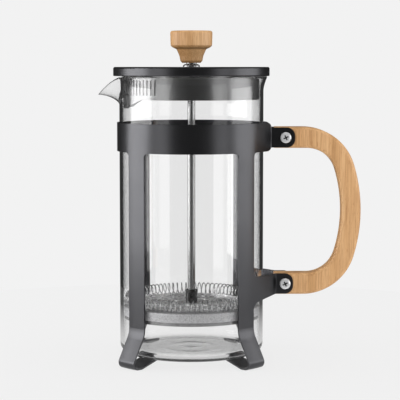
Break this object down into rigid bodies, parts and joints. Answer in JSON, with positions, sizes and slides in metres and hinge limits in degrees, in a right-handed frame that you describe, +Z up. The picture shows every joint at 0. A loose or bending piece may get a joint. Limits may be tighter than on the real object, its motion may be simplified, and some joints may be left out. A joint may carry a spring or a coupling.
{
  "type": "french press",
  "caption": "Glass french press in a black steel strip frame, with a bamboo D handle, a bamboo knob and a plunger with a sprung mesh filter.",
  "frame": {"origin": "on the axis of the glass, at the height of the surface that the feet stand on", "axes": "+Z up along the glass and the rod, +X towards the handle, -X towards the spout"},
  "size_m": [0.1749, 0.1034, 0.2188],
  "materials": {
    "black_paint": "satin black powder coat",
    "bamboo": "laminated bamboo, satin oil",
    "glass": "clear borosilicate glass",
    "steel": "polished stainless steel",
    "screw_steel": "bright plated steel",
    "woven_steel": "fine woven stainless wire",
    "spring_steel": "bright spring wire"
  },
  "bodies": {
    "frame": {"frame": "black_paint", "handle_grip": "bamboo", "upper_handle_screw": "screw_steel", "lower_handle_screw": "screw_steel", "upper_handle_nut": "screw_steel", "lower_handle_nut": "screw_steel"},
    "beaker": {"beaker": "glass"},
    "rod_bushing": {"rod_bushing": "steel", "bushing_nut": "steel"},
    "lid": {"lid_cap": "black_paint", "lid_sleeve": "steel"},
    "plunger": {"plunger_rod": "steel", "knob": "bamboo", "knob_insert": "steel", "rod_collar": "steel", "spring_plate": "steel", "coil_spring": "spring_steel", "mesh_screen": "woven_steel", "cross_plate": "steel", "hub_nut": "steel"}
  },
  "joints": [
    {"name": "beaker_lift", "type": "slide", "parent": "frame", "child": "beaker", "axis": [0, 0, 1], "range_m": [0, 0.16]},
    {"name": "lid_lift", "type": "slide", "parent": "beaker", "child": "rod_bushing", "axis": [0, 0, 1], "range_m": [0, 0.17]},
    {"name": "lid_turn", "type": "hinge", "parent": "rod_bushing", "child": "lid", "pos_m": [0, 0, 0.194], "axis": [0, 0, 1], "continuous": true},
    {"name": "plunger_press", "type": "slide", "parent": "rod_bushing", "child": "plunger", "axis": [0, 0, 1], "range_m": [0, 0.12]}
  ]
}
